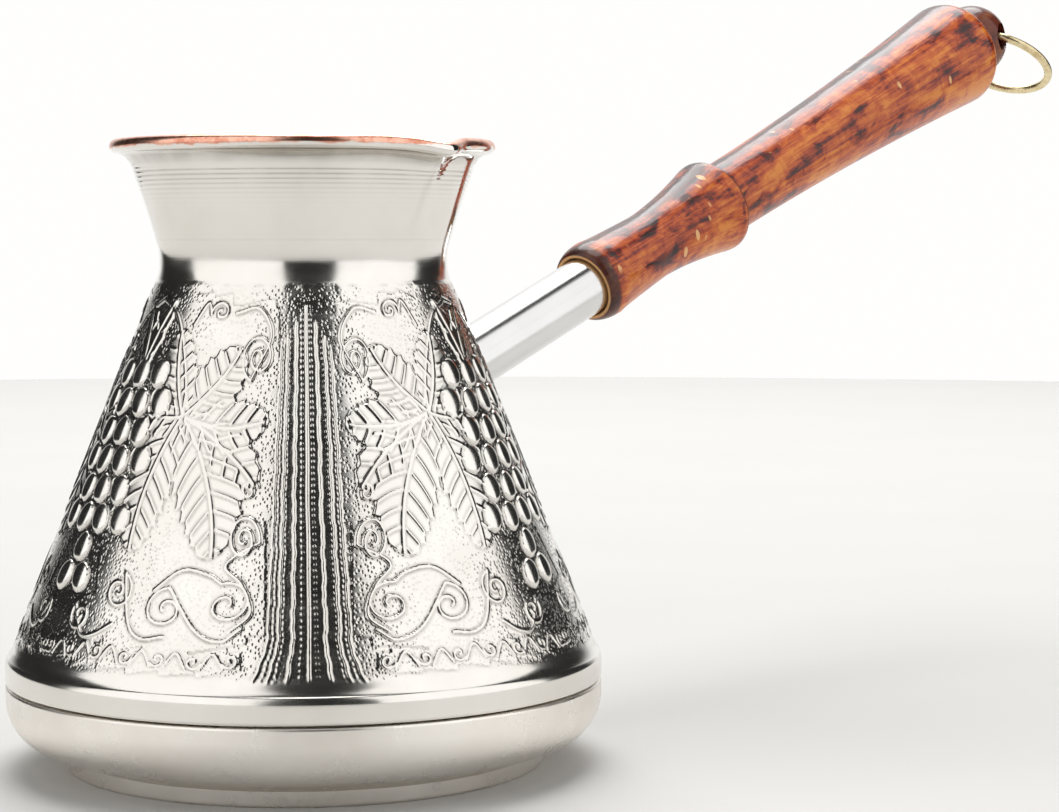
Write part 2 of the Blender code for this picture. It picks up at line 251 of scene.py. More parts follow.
def tinned_copper():
    """Polished tin on copper: clouded, stippled by the ground attribute, tarnished in its hollows and given
    painted shade under the rim and along the neck's grooves by the recess one.
    """
    material, n, shader = new_metal("tinned_copper")
    vector = n.position()
    _, _, z = n.split(vector)
    clouds = n.noise(vector, 45.0, 4.0, 0.6)
    tin = n.mix(n.range(clouds, 0.35, 0.7), TIN, TIN_SHADE)

    # Bare copper over the top of the rolled rim, its edge worn unevenly
    ragged = n.math("MULTIPLY", n.math("SUBTRACT", n.noise(vector, 120.0, 5.0, 0.7), 0.5), 2.6 * MM)
    height = n.math("ADD", z, ragged)
    bare = n.range(height, RIM_Z - 0.55 * MM, RIM_Z - 0.2 * MM)
    rub = n.noise(vector, 320.0, 4.0, 0.65)
    copper = n.mix(n.range(rub, 0.42, 0.66), COPPER, COPPER_DARK)

    # Tarnish in the hollows of the pattern and of its punched ground; the same darkening is painted shade
    # under the rim and along the neck's grooves
    recess = n.add("ShaderNodeAttribute", attribute_name="recess").outputs["Fac"]
    ground = n.add("ShaderNodeAttribute", attribute_name="ground").outputs["Fac"]
    punched = n.math("MULTIPLY", n.range(n.voronoi(vector, 1450.0), 0.12, 0.55), ground)
    pits = n.math("MULTIPLY", n.math("SUBTRACT", ground, punched), 0.30)
    patchy = n.range(n.noise(vector, 130.0), 0.3, 0.6, 0.55, 1.0)
    dull = n.math("MULTIPLY", patchy, n.math("MAXIMUM", recess, pits))
    tin = n.mix(n.math("MULTIPLY", dull, 0.48), tin, TARNISH_AND_SHADE)
    n.put(shader.inputs["Base Color"], n.mix(bare, tin, copper))

    # The neck is smoother than the cone, bare copper rougher
    neck = n.range(z, WAIST[1], NECK_FOOT[1], 1.0, 0.5)
    smears = n.range(n.noise(n.stretch(vector, (1, 1, 6)), 60.0, 3.0), 0.3, 0.75, 0.14, 0.21)
    rough = n.math("ADD", n.math("MULTIPLY", smears, neck), n.math("MULTIPLY", bare, 0.16))
    n.put(shader.inputs["Roughness"], rough)

    # Punched ground, fine turning marks, light dents
    first = n.bump(punched, 0.055 * MM, 0.8)
    turning = n.noise(n.stretch(vector, (20, 20, 5200)), 1.0, 2.0)
    second = n.bump(turning, 0.006 * MM, 1.0, first)
    n.put(shader.inputs["Normal"], n.bump(n.noise(vector, 95.0, 2.0), 0.05 * MM, 1.0, second))
    return material


def satin_tin():
    """The spun pan: satin tin with turning marks, slightly warmer than the shell."""
    material, n, shader = new_metal("satin_tin")
    vector = n.position()
    clouds = n.range(n.noise(vector, 38.0, 4.0, 0.6), 0.3, 0.75)
    n.put(shader.inputs["Base Color"], n.mix(clouds, (0.93, 0.89, 0.835), (0.86, 0.81, 0.75)))
    n.put(shader.inputs["Roughness"], n.range(n.noise(vector, 150.0, 3.0), 0.3, 0.7, 0.25, 0.36))
    turning = n.noise(n.stretch(vector, (25, 25, 3000)), 1.0, 3.0)
    first = n.bump(turning, 0.012 * MM)
    n.put(shader.inputs["Normal"], n.bump(n.noise(vector, 120.0, 2.0), 0.03 * MM, 1.0, first))
    return material


def polished_steel():
    """Bright steel with fine marks along the handle."""
    material, n, shader = new_metal("polished_steel")
    vector = n.handle_position()
    clouds = n.noise(vector, 90.0)
    n.put(shader.inputs["Base Color"], n.mix(clouds, (0.80, 0.795, 0.785), (0.70, 0.695, 0.68)))
    drawn = n.noise(n.stretch(vector, (2600, 2600, 12)), 1.0, 2.0)
    n.put(shader.inputs["Roughness"], n.range(drawn, 0.3, 0.7, 0.14, 0.24))
    n.put(shader.inputs["Normal"], n.bump(drawn, 0.008 * MM))
    return material


def zinc_plate():
    """Mottled grey plating on the hidden fasteners."""
    material, n, shader = new_metal("zinc_plate")
    vector = n.position()
    mottle = n.noise(vector, 700.0)
    n.put(shader.inputs["Base Color"], n.mix(mottle, (0.66, 0.67, 0.68), (0.52, 0.53, 0.55)))
    n.put(shader.inputs["Roughness"], n.range(n.noise(vector, 1500.0), 0.3, 0.7, 0.28, 0.45))
    return material


def bare_copper():
    """Untinned copper, darker in places."""
    material, n, shader = new_metal("bare_copper")
    vector = n.position()
    n.put(shader.inputs["Base Color"], n.mix(n.noise(vector, 500.0, 4.0), COPPER, COPPER_DARK))
    n.put(shader.inputs["Roughness"], n.range(n.noise(vector, 1200.0), 0.3, 0.7, 0.25, 0.42))
    return material


def brass():
    """Pale brass, a little dull, with small dents and tarnish."""
    material, n, shader = new_metal("brass")
    vector = n.position()
    tarnish = n.range(n.noise(vector, 420.0, 4.0, 0.65), 0.4, 0.75)
    n.put(shader.inputs["Base Color"], n.mix(tarnish, (0.83, 0.71, 0.44), (0.60, 0.46, 0.25)))
    n.put(shader.inputs["Roughness"], n.range(n.noise(vector, 900.0), 0.3, 0.7, 0.2, 0.34))
    n.put(shader.inputs["Normal"], n.bump(n.noise(vector, 1600.0, 2.0), 0.01 * MM))
    return material


def lacquered_wood():
    """Flame-stained birch under gloss lacquer. The handle's own Z runs along the grain."""
    material, n, shader = new_material("lacquered_wood")
    vector = n.handle_position()
    x, y, z = n.split(vector)
    warp = n.noise(n.stretch(vector, (60, 60, 22)), 1.0, 3.0)

    # Large scorched clouds, and the streaks of the grain
    clouds = n.noise(n.stretch(vector, (95, 95, 42)), 1.0, 5.0, 0.62, 0.8)
    cross = n.noise(n.stretch(vector, (150, 150, 330)), 1.0, 4.0, 0.6, 0.6)
    grain = n.noise(n.stretch(vector, (900, 900, 34)), 1.0, 5.0, 0.7)
    tone = n.math("ADD", n.math("MULTIPLY", clouds, 0.62), n.math("MULTIPLY", cross, 0.22))
    tone = n.math("ADD", tone, n.math("MULTIPLY", grain, 0.50))

    # Painted light and shade: the side turned down and outwards is painted paler, the upper side darker
    down = n.math("ADD", n.math("MULTIPLY", x, 0.75), n.math("MULTIPLY", y, -0.66))
    tone = n.math("ADD", tone, n.math("MULTIPLY", down, 5.0))
    blotch = n.range(n.noise(n.stretch(vector, (150, 150, 75)), 1.0, 4.0, 0.6, 1.2), 0.48, 0.68)
    tone = n.math("MULTIPLY_ADD", n.math("SUBTRACT", tone, 0.68), 2.3, 0.58)
    tone = n.math("SUBTRACT", tone, n.math("MULTIPLY", blotch, 0.26))
    colour = n.ramp(tone, [
        (0.20, (0.018, 0.004, 0.003)),
        (0.36, (0.11, 0.013, 0.006)),
        (0.48, (0.33, 0.040, 0.010)),
        (0.64, (0.54, 0.105, 0.016)),
        (0.86, (0.72, 0.24, 0.035)),
    ])

    # Small pale flecks where the rays of the wood come to the surface
    fleck_space = n.stretch(vector, (150, 150, 330))
    flecks = n.range(n.voronoi(fleck_space, 1.0), 0.16, 0.22, 1.0, 0.0)
    chance = n.range(n.noise(n.stretch(vector, (70, 70, 70)), 1.0, 1.0), 0.55, 0.59)
    colour = n.mix(n.math("MULTIPLY", flecks, chance), colour, (0.80, 0.44, 0.17))

    # Dark wavy streak along the upper side, adding painted shade there
    wavy = n.math("ADD", n.math("SUBTRACT", y, 1.5 * MM), n.math("MULTIPLY", warp, 4.0 * MM))
    away = n.math("ABSOLUTE", wavy)
    upper = n.range(x, -4.5 * MM, -6.5 * MM)
    streak = n.math("MULTIPLY", n.range(away, 2.6 * MM, 0.8 * MM), upper)
    colour = n.mix(n.math("MULTIPLY", streak, 0.85), colour, (0.028, 0.008, 0.006))

    # Burnt end grain at both ends and the collar's dark groove
    radius = n.math("SQRT", n.math("ADD", n.math("MULTIPLY", x, x), n.math("MULTIPLY", y, y)))
    ragged = n.math("MULTIPLY", n.math("SUBTRACT", warp, 0.5), 2.6 * MM)
    end_edge = n.math("ADD", WOOD_START + 2.4 * MM, ragged)
    near_end = n.range(n.math("SUBTRACT", z, end_edge), -0.3 * MM, 0.9 * MM, 1.0, 0.0)
    colour = n.mix(n.math("MULTIPLY", near_end, 0.9), colour, (0.045, 0.012, 0.008))
    from_groove = n.math("ABSOLUTE", n.math("SUBTRACT", z, COLLAR_AT + 0.1 * MM))
    groove = n.range(from_groove, 0.5 * MM, 1.1 * MM, 0.85, 0.0)
    colour = n.mix(groove, colour, (0.02, 0.006, 0.004))
    far_end = n.range(z, GRIP_END - 0.6 * MM, GRIP_END + 1.6 * MM)
    colour = n.mix(n.math("MULTIPLY", far_end, 0.8), colour, (0.075, 0.016, 0.009))

    # Bare wood at the bore's mouth and inside it
    in_bore = n.range(radius, TUBE_RADIUS + 0.85 * MM, TUBE_RADIUS + 1.15 * MM, 1.0, 0.0)
    bare = n.math("MULTIPLY", in_bore, n.range(z, WOOD_START + 20 * MM, WOOD_START + 10 * MM))
    colour = n.mix(bare, colour, n.mix(grain, (0.66, 0.33, 0.13), (0.80, 0.48, 0.22)))

    n.put(shader.inputs["Base Color"], colour)
    n.put(shader.inputs["Roughness"], n.range(grain, 0.3, 0.7, 0.34, 0.5))
    n.put(shader.inputs["Coat Weight"], n.math("MULTIPLY", n.math("SUBTRACT", 1.0, bare, clamp=True), 0.5))
    shader.inputs["Specular IOR Level"].default_value = 0.2
    shader.inputs["Coat Roughness"].default_value = 0.1
    shader.inputs["Coat IOR"].default_value = 1.5
    waves = n.bump(n.noise(n.stretch(vector, (230, 230, 90)), 1.0, 2.0), 0.17 * MM)
    n.put(shader.inputs["Normal"], n.bump(grain, 0.10 * MM, 1.0, waves))
    n.put(shader.inputs["Coat Normal"], n.bump(grain, 0.03 * MM, 1.0, waves))
    return material


# ---------------------------------------------------------------- mesh helpers
def arc(centre_r, centre_z, radius, start, end, pieces, squash=1.0):
    """Points on an arc of a section, angles in degrees from the outward direction."""
    angles = np.radians(np.linspace(start, end, pieces + 1))
    return [(centre_r + radius * math.cos(a), centre_z + squash * radius * math.sin(a)) for a in angles]


def turned(name, profile, steps, material):
    """Spin a closed outline of (radius, height) points about Z into an object."""
    form = bmesh.new()
    points = [form.verts.new((max(r, 0.0), 0.0, h)) for r, h in profile]
    edges = [form.edges.new((a, b)) for a, b in zip(points, points[1:] + points[:1])]
    on_axis = [edge for edge in edges if all(v.co.x < 0.001 * MM for v in edge.verts)]
    bmesh.ops.delete(form, geom=on_axis, context="EDGES")
    bmesh.ops.spin(
        form,
        geom=[*form.verts, *form.edges],
        cent=(0.0, 0.0, 0.0),
        axis=(0.0, 0.0, 1.0),
        angle=math.tau,
        steps=steps,
    )
    bmesh.ops.remove_doubles(form, verts=form.verts, dist=0.001 * MM)
    bmesh.ops.recalc_face_normals(form, faces=form.faces)
    return finish_form(name, form, material)


def finish_form(name, form, material, sharp=35.0):
    """An object from a bmesh, its edges sharp above an angle in degrees."""
    mesh = bpy.data.meshes.new(name)
    form.to_mesh(mesh)
    form.free()
    return finish_mesh(name, mesh, material, sharp)


def finish_mesh(name, mesh, material, sharp=None):
    mesh.shade_smooth()
    if sharp:
        mesh.set_sharp_from_angle(angle=math.radians(sharp))
    mesh.materials.append(material)
    thing = bpy.data.objects.new(name, mesh)
    bpy.context.scene.collection.objects.link(thing)
    return thing


def ring_surface(name, points, material):
    """A closed tube-like surface from an array [row, column, xyz] that wraps round both ways."""
    rows, columns = points.shape[:2]
    index = np.arange(rows * columns).reshape(rows, columns)
    right = np.roll(index, -1, axis=1)
    corners = [index, right, np.roll(right, -1, axis=0), np.roll(index, -1, axis=0)]
    faces = np.stack(corners, axis=-1).reshape(-1, 4)
    mesh = bpy.data.meshes.new(name)
    mesh.vertices.add(rows * columns)
    mesh.vertices.foreach_set("co", points.reshape(-1).astype(np.float32))
    mesh.loops.add(faces.size)
    mesh.loops.foreach_set("vertex_index", faces.reshape(-1).astype(np.int32))
    mesh.polygons.add(len(faces))
    mesh.polygons.foreach_set("loop_start", np.arange(0, faces.size, 4, dtype=np.int32))
    mesh.update(calc_edges=True)
    return finish_mesh(name, mesh, material)


# ---------------------------------------------------------------- the chased pattern
def smooth(value, low, high):
    """0 at low and below, 1 at high and above, eased between."""
    share = np.clip((value - low) / (high - low), 0.0, 1.0)
    return share * share * (3.0 - 2.0 * share)


def cone_radius(z):
    return CONE_TOP[0] + (CONE_TOP[1] - z) * CONE_SLOPE


def developed(angle, z):
    """The cone rolled out flat: millimetres right of and up from the border band's line."""
    reach = cone_radius(z * MM) / MM / math.sin(CONE_ANGLE)
    turn = np.radians(angle) * math.sin(CONE_ANGLE)
    return reach * np.sin(turn), -reach * np.cos(turn)


class Relief:
    """Heights in millimetres over one half panel, drawn on the rolled-out cone."""

    def __init__(self, angle, z):
        self.x, self.y = developed(angle, z)
        self.angle = angle
        self.z = z
        self.height = np.zeros_like(self.x)
        self.ground = np.ones_like(self.x)

    def near(self, points, margin):
        """The part of the grid that a stroke or leaf can reach, as a mask."""
        xs, ys = points[:, 0], points[:, 1]
        return ((self.x > xs.min() - margin) & (self.x < xs.max() + margin)
                & (self.y > ys.min() - margin) & (self.y < ys.max() + margin))

    def distance(self, points, mask):
        """Distance from the masked grid points to a line through points."""
        x, y = self.x[mask], self.y[mask]
        best = np.full(x.shape, 1e9)
        for (ax, ay), (bx, by) in zip(points[:-1], points[1:]):
            dx, dy = bx - ax, by - ay
            share = np.clip(((x - ax) * dx + (y - ay) * dy) / (dx * dx + dy * dy + 1e-12), 0.0, 1.0)
            best = np.minimum(best, np.hypot(x - ax - share * dx, y - ay - share * dy))
        return best

    def stroke(self, points, width, height):
        """A raised rounded line along developed points."""
        points = np.asarray(points)
        mask = self.near(points, 2.0 * width)
        gap = self.distance(points, mask)
        ridge = height * (1.0 - smooth(gap, 0.15 * width, width))
        self.height[mask] = np.maximum(self.height[mask], ridge)
        self.ground[mask] *= smooth(gap, 0.6 * width, 1.2 * width)

    def blade(self, base, tip, width, ribs, bend, height=0.25):
        """One lobe of a leaf: toothed edge, raised midrib and side ribs sweeping to the tip."""
        base, tip = np.array(base), np.array(tip)
        along = tip - base
        length = float(np.hypot(*along))
        along = along / length
        mask = self.near(np.array([base, tip]), width + 1.0)
        x, y = self.x[mask] - base[0], self.y[mask] - base[1]
        t = (x * along[0] + y * along[1]) / length
        q = -x * along[1] + y * along[0] + bend * 4.0 * np.clip(t, 0, 1) * (1 - np.clip(t, 0, 1))
        side = np.abs(q)
        sweep = ribs * t - (0.30 * side + 0.035 * side**2) / RIB_PITCH
        teeth = 1.0 - 0.16 * np.sin(math.pi * np.mod(sweep, 1.0))
        edge = width * np.sin(math.pi * np.clip(t, 0.0, 1.0) ** 0.9) ** 0.45 * teeth
        inside = smooth(edge - side, 0.0, 0.6) * smooth(t, -0.01, 0.04) * (1.0 - smooth(t, 0.97, 1.01))
        from_rib = np.abs(np.mod(sweep, 1.0) - 0.5) * length / ribs
        rib = smooth(0.5 - from_rib, 0.0, 0.42) * smooth(side, 0.3, 0.9)
        midrib = 1.0 - smooth(side, 0.12, 0.5)
        form = height * (0.45 + 0.15 * side / width) + 0.17 * rib + 0.15 * midrib
        self.height[mask] = np.maximum(self.height[mask], form * inside)
        self.ground[mask] *= 1.0 - inside

    def berry(self, centre, radius, height):
        """One grape: an oval dome with a small rim round it."""
        centre = np.array(centre)
        mask = self.near(centre[None, :], 1.5 * radius)
        gap = np.hypot((self.x[mask] - centre[0]) * 1.08, (self.y[mask] - centre[1]) * 0.92) / radius
        dome = height * np.sqrt(np.clip(1.0 - gap * gap, 0.0, 1.0))
        moat = -0.10 * np.exp(-((gap - 1.1) / 0.12) ** 2)
        here = self.height[mask]
        self.height[mask] = np.where(gap < 1.0, np.maximum(here, dome), np.minimum(here, here + moat))
        self.ground[mask] *= smooth(gap, 0.9, 1.15)


def curve_through(points, pieces=10):
    """A smooth line through developed points (Catmull-Rom)."""
    points = np.array(points, float)
    padded = np.vstack([2 * points[0] - points[1], points, 2 * points[-1] - points[-2]])
    line = []
    for a, b, c, d in zip(padded[:-3], padded[1:-2], padded[2:-1], padded[3:]):
        for share in np.linspace(0.0, 1.0, pieces, endpoint=False):
            line.append(0.5 * (2 * b + (c - a) * share + (2 * a - 5 * b + 4 * c - d) * share**2
                               + (3 * b - a - 3 * c + d) * share**3))
    line.append(points[-1])
    return np.array(line)


def spot(angle, z):
    """The developed point at an angle from the band's line and a height."""
    return tuple(float(v) for v in developed(np.float64(angle), np.float64(z)))


def vine(relief, places, width, height):
    """A raised stem through (angle, z) places."""
    relief.stroke(curve_through([spot(a, z) for a, z in places]), width, height)


def scroll(relief, angle, z, radius, turns, start, hand=1, tall=1.0, tail=None, width=0.42, height=0.18):
    """A spiral tendril that winds in to its centre, with an optional tail of (angle, z) places."""
    cx, cy = spot(angle, z)
    line = []
    for share in np.linspace(0.0, 1.0, int(22 * turns) + 2):
        turn = math.radians(start) + hand * math.tau * turns * share
        reach = radius * (1.0 - 0.86 * share)
        line.append((cx + reach * math.cos(turn), cy + tall * reach * math.sin(turn)))
    if tail:
        line = list(curve_through([spot(a, h) for a, h in tail] + [line[0]])) + line
    relief.stroke(line, width, height)


def border_band(relief):
    """Half of the band: raised ridges with bead rows between them, flaring at the foot."""
    angle, z = relief.angle, relief.z
    flare = 1.0 + 0.34 * np.clip((31.0 - z) / 8.0, 0.0, 1.3) ** 2
    wander = (0.10 * np.sin(z * 0.9) + 0.07 * np.sin(z * 2.3 + 1.0)) * smooth(angle, 0.5, 2.5)
    across = angle / flare + wander
    inside = 1.0 - smooth(across, 7.9, 8.3)
    top = 1.0 - smooth(z, 84.5 - 0.9 * across, 86.0 - 0.9 * across)
    metric = cone_radius(z * MM) / MM * math.pi / 180.0
    bed = -0.10
    body = np.full_like(z, bed)
    ridges = ((0.0, 0.24), (3.1, 0.30), (5.8, 0.28), (7.8, 0.30))
    for place, width in ridges:
        gap = np.abs(across - place) * metric
        body = np.maximum(body, 0.15 * (1.0 - smooth(gap, 0.05, width)) + bed)
    bead_rows = ((1.3, 1.0, 0.36), (4.9, 0.95, 0.34), (6.8, 0.95, 0.34))
    for place, pitch, width in bead_rows:
        gap = np.hypot((across - place) * metric, np.mod(z + 0.4 * place, pitch) - pitch / 2)
        body = np.maximum(body, 0.11 * (1.0 - smooth(gap, 0.05, width)) + bed)
    share = inside * top
    relief.height = relief.height * (1.0 - share) + body * share
    relief.ground *= 1.0 - 0.75 * share


def vine_panel(relief):
    """A vine leaf, tendrils and half a bunch of grapes; the other half panel mirrors it."""
    heart = spot(36.0, 66.5)
    lobes = [
        ((10.4, 65.5), 6.2, 6, -1.6),
        ((20.0, 78.5), 5.4, 6, -1.2),
        ((44.5, 81.0), 5.0, 6, 1.0),
        ((51.0, 66.5), 4.8, 4, 0.8),
        ((21.0, 43.0), 7.4, 8, 2.2),
        ((42.5, 43.0), 6.4, 8, -1.8),
        ((12.4, 54.5), 5.0, 6, 1.2),
    ]
    for (angle, z), width, ribs, bend in lobes:
        relief.blade(heart, spot(angle, z), width, ribs, bend)
    vine(relief, [(36.0, 66.5), (37.5, 72.0), (43.0, 79.0), (50.0, 84.0), (HALF_PANEL, 86.5)], 0.6, 0.26)

    # Tendrils: place, radius, turns, start in degrees, hand, height over width, tail
    scroll(relief, 14.5, 76.5, 3.1, 1.7, -60, 1, 1.5, [(24.0, 84.5), (16.0, 85.0), (11.0, 80.0)])
    scroll(relief, 13.8, 54.0, 1.6, 1.2, 160, -1, 1.2)
    long_tail = [(15.5, 31.0), (11.5, 34.0), (13.5, 38.5), (17.5, 42.0)]
    scroll(relief, 14.2, 46.0, 2.9, 1.8, 190, -1, 1.5, long_tail)
    scroll(relief, 16.5, 35.5, 4.6, 1.35, 80, 1, 0.85, [(33.0, 37.5), (27.0, 41.0), (21.0, 40.5)])
    scroll(relief, 29.5, 34.5, 4.4, 1.35, 100, -1, 0.85, [(13.0, 31.5), (17.0, 29.6), (22.5, 31.5)])
    scroll(relief, 42.5, 36.5, 3.4, 1.5, 120, 1, 1.0, [(29.0, 30.0), (34.0, 29.5), (38.0, 32.0)])
    scroll(relief, 52.0, 32.0, 2.8, 1.5, 60, -1, 1.0, [(42.0, 31.0), (46.0, 29.0), (50.0, 29.0)])
    scroll(relief, 30.0, 84.5, 2.0, 1.3, 0, 1, 1.0, [(40.0, 82.0), (36.0, 86.0)])

    # The row of small scrolls above the cone's foot, wound one way and the other
    for i in range(7):
        angle = 14.5 + 7.4 * i
        start, hand = (200, 1) if i % 2 else (-20, -1)
        scroll(relief, angle, 26.4, 1.5, 1.1, start, hand, 0.9, width=0.34, height=0.15)
        vine(relief, [(angle + 1.4, 25.2), (angle + 3.7, 27.6), (angle + 6.0, 25.2)], 0.32, 0.13)

    # The bunch hangs on the middle of the panel; every second row has a berry on the middle line
    for i, berries in enumerate((2, 2, 2, 2, 2, 2, 1, 1)):
        z = 73.5 - 5.05 * i
        step = math.degrees(5.9 * MM / cone_radius(z * MM))
        first = HALF_PANEL if i % 2 == 0 else HALF_PANEL - step / 2
        for k in range(berries):
            relief.berry(spot(first - k * step, z), 2.5, 0.6)
    relief.blade(spot(HALF_PANEL, 74.0), spot(52.0, 86.5), 2.6, 3, 0.5, 0.3)


def recess_of(height):
    """How far each point lies below its surroundings, 0 to 1: where tarnish stays after polishing."""
    around = np.zeros_like(height)
    shifts = [(0, 1), (1, 0), (0, 3), (2, 0), (2, 2), (2, -2)]
    for rows, columns in shifts:
        for sign in (1, -1):
            moved = np.roll(height, sign * columns, axis=1)
            around += np.roll(moved, sign * rows, axis=0)
    return np.clip((around / (2 * len(shifts)) - height) / TARNISH_DEPTH, 0.0, 1.0)


def chased_relief(azimuth, z):
    """(height in mm, ground share, recess share) for rows of z and columns of azimuth."""
    angle_grid, z_grid = np.meshgrid(azimuth, z)
    turned_by = np.mod(angle_grid - BAND_AZIMUTH + HALF_PANEL, 2 * HALF_PANEL) - HALF_PANEL
    wobble = 0.35 * np.sin(np.radians(angle_grid) * 7 + z_grid * 0.21) + 0.25 * np.sin(z_grid * 0.47 + 2.0)
    lift = 0.35 * np.sin(np.radians(angle_grid) * 9 + 1.3) + 0.2 * np.sin(np.radians(angle_grid) * 23)
    relief = Relief(np.abs(turned_by + 0.12 * wobble), z_grid + lift * 0.6)
    relief.height -= 0.08
    vine_panel(relief)
    border_band(relief)

    # Ragged along the top, a plain edge at the foot
    ragged = 0.5 * np.sin(np.radians(angle_grid) * 31) + 0.4 * np.sin(np.radians(angle_grid) * 53 + 1.0)
    fade = smooth(z_grid, 22.8, 24.2) * (1.0 - smooth(z_grid, 87.6 + ragged, 90.2 + ragged))

    # Smooth under the handle's seat
    across = np.radians(angle_grid) * cone_radius(z_grid * MM) / MM
    up = (z_grid - HANDLE_ROOT_Z / MM) / math.cos(CONE_ANGLE)
    fade *= smooth(np.hypot(across, up), SEAT_RADIUS / MM + 0.5, SEAT_RADIUS / MM + 2.5)
    height = relief.height * fade
    return height, np.clip(relief.ground, 0.0, 1.0) * fade, recess_of(height)


# ---------------------------------------------------------------- body shell
def waist_point(share):
    """A point of the rounded waist: share -1 is the crease above it, 0 the waist, 1 its lower end."""
    if share < 0.0:
        return (WAIST[0] + (NECK_FOOT[0] - WAIST[0]) * share**2, WAIST[1] - (NECK_FOOT[1] - WAIST[1]) * share)
    return (WAIST[0] + 0.65 * MM * share**2, WAIST[1] - 3.4 * MM * share)


def shell_section():
    """The shell's closed section as (radius, z) rows, and which rows carry the chased pattern."""
    fine = 1.0
    groove_pitch = 0.82 * MM
    groove_height = 0.032 * MM
    outer = arc(RIM_RADIUS, RIM_Z, RIM_BEAD, 165, -105, 22)
    turn_out = (NECK_TOP[0] + 0.9 * MM, NECK_TOP[1] + 1.3 * MM)
    outer.append(turn_out)
    for share in np.linspace(0.0, 1.0, int(100 * fine)):
        z = NECK_TOP[1] + (NECK_FOOT[1] - NECK_TOP[1]) * share
        radius = NECK_TOP[0] + (NECK_FOOT[0] - NECK_TOP[0]) * share
        flare = 0.12 * MM * math.sin(math.pi * share)
        drop = RIM_Z - z
        under_rim = math.exp(-((drop - 5.0 * MM) / (3.0 * MM)) ** 2)
        above_waist = 0.22 * math.exp(-((share - 0.93) / 0.05) ** 2)
        rings = (under_rim + above_waist) * math.sin(math.tau * drop / groove_pitch)
        outer.append((radius - flare + groove_height * rings, z))
    outer += [waist_point(share) for share in np.linspace(-0.9, 1.0, 16)]
    chased_from = len(outer)
    for z in np.linspace(CONE_TOP[1] + 1.2 * MM, CONE_FOOT[1], int(300 * fine)):
        outer.append((cone_radius(z), z))
    chased_to = len(outer)
    round_over = 1.1 * MM
    outer += arc(POT_RADIUS - round_over, SHOULDER_Z, round_over, 68, 0, 7, 1.6)
    outer += [(POT_RADIUS, SEAM_Z + 1.2 * MM), (POT_RADIUS, SEAM_Z + 0.75 * MM)]
    outer += arc(POT_RADIUS - 0.5 * MM, SEAM_Z + 0.65 * MM, 0.5 * MM, 0, -90, 4)

    # The inside, from the lap that the pan hides up to the rim
    lap_radius = POT_RADIUS - PAN_WALL - 0.3 * MM
    lap_top = 12.8 * MM
    slant = SHELL_WALL / math.cos(CONE_ANGLE)
    inner = [
        (lap_radius, SEAM_Z + 0.15 * MM),
        (lap_radius, lap_top),
        (lap_radius - SHELL_WALL, lap_top),
        (lap_radius - SHELL_WALL, SHOULDER_Z),
        (CONE_FOOT[0] - slant, CONE_FOOT[1]),
    ]
    for z in np.linspace(CONE_FOOT[1] + 3 * MM, CONE_TOP[1], 24):
        inner.append((cone_radius(z) - slant, z))
    inner += [(waist_point(s)[0] - SHELL_WALL, waist_point(s)[1]) for s in np.linspace(1.0, -1.0, 9)]
    inner += [
        (NECK_TOP[0] - SHELL_WALL - 0.3 * MM, NECK_TOP[1] - 3.0 * MM),
        (NECK_TOP[0] - SHELL_WALL, NECK_TOP[1]),
        (turn_out[0] - SHELL_WALL, turn_out[1]),
        (RIM_RADIUS - RIM_BEAD - 0.3 * MM, RIM_Z - 0.45 * MM),
    ]
    return np.array(outer + inner), chased_from, chased_to


def ring_grooves(section):
    """How deep each neck row lies below the mean of the rows round it, 0 to 1: the spinning grooves."""
    rows_averaged = 11
    even = np.convolve(section[:, 0], np.ones(rows_averaged) / rows_averaged, mode="same")
    on_neck = (section[:, 1] < NECK_TOP[1] - 0.8 * MM) & (section[:, 1] > NECK_FOOT[1] + 0.8 * MM)
    return np.where(on_neck, np.clip((even - section[:, 0]) / (0.03 * MM), 0.0, 1.0), 0.0)


def press_lip(points):
    """Draw the rim outwards and down into a beak, its fold running down the neck."""
    azimuth = np.arctan2(points[..., 1], points[..., 0])
    turn = np.mod(azimuth - LIP_ANGLE + math.pi, math.tau) - math.pi
    below = np.clip(RIM_Z - points[..., 2], 0.0, None)
    near = np.exp(-((np.abs(turn) / LIP_SPREAD) ** 1.55))
    pull = LIP_REACH * near * np.exp(-((below / LIP_FADE) ** 2))
    points[..., 0] += np.cos(azimuth) * pull
    points[..., 1] += np.sin(azimuth) * pull
    points[..., 2] -= LIP_DROP * near * np.exp(-((below / LIP_DROP_FADE) ** 2))
    return points


def body_shell(material):
    """The tinned sheet from seam to rim, with the relief and the two attributes that its material reads."""
    section, chased_from, chased_to = shell_section()
    columns = 1500
    azimuth = np.linspace(-180.0, 180.0, columns, endpoint=False)
    heights = np.zeros((len(section), columns))
    ground = np.zeros((len(section), columns))
    recess = np.zeros((len(section), columns))
    rows = slice(chased_from, chased_to)
    heights[rows], ground[rows], recess[rows] = chased_relief(azimuth, section[rows, 1] / MM)

    # Painted shade under the rim's bead and along the neck's spinning grooves, in the same attribute as the
    # tarnish
    under_rim = np.exp(-((section[:chased_from, 1] - NECK_TOP[1] - 0.9 * MM) / (0.9 * MM)) ** 2)
    recess[:chased_from] = 1.3 * under_rim[:, None] + ring_grooves(section[:chased_from])[:, None]

    turn = np.radians(azimuth)
    radius = section[:, :1] + heights * MM * math.cos(CONE_ANGLE)
    z = section[:, 1:] + heights * MM * math.sin(CONE_ANGLE)
    points = np.stack([radius * np.cos(turn), radius * np.sin(turn), z], axis=-1)
    shell = ring_surface("tinned_body_shell", press_lip(points), material)
    for name, values in (("ground", ground), ("recess", recess)):
        attribute = shell.data.attributes.new(name, "FLOAT", "POINT")
        attribute.data.foreach_set("value", values.reshape(-1).astype(np.float32))
    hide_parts("body_shell")
    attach(shell, "pot")


